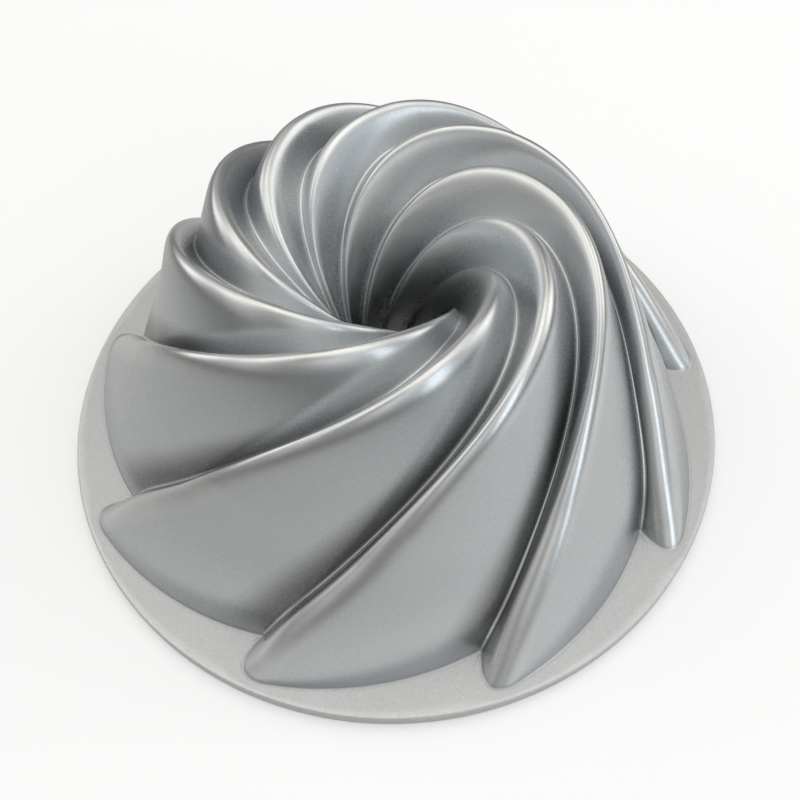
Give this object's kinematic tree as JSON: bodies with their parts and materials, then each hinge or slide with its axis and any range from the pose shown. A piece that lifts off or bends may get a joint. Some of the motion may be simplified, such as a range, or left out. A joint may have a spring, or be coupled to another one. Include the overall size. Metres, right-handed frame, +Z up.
{
  "type": "swirl bundt pan",
  "caption": "Cast aluminium swirl bundt pan, mouth down on its flange: sharp twisted blades over a crown, an open centre tube and a nonstick lined ring cavity.",
  "frame": {"origin": "centre of the flange's resting face, in the plane the pan stands on when it is mouth down", "axes": "+Z up along the pan's axis, from the open mouth to the crown; +X points 6 degrees clockwise of one blade's tip, seen from above"},
  "size_m": [0.26, 0.26, 0.1062],
  "materials": {
    "cast_aluminium": "satin silver grey casting with a fine sparkle, rubbed brighter along the ridges and on the flange",
    "nonstick_lining": "sprayed dark grey nonstick with a low eggshell gloss"
  },
  "bodies": {
    "root": {"pan_casting": "cast_aluminium", "nonstick_coating": "nonstick_lining"}
  },
  "joints": []
}
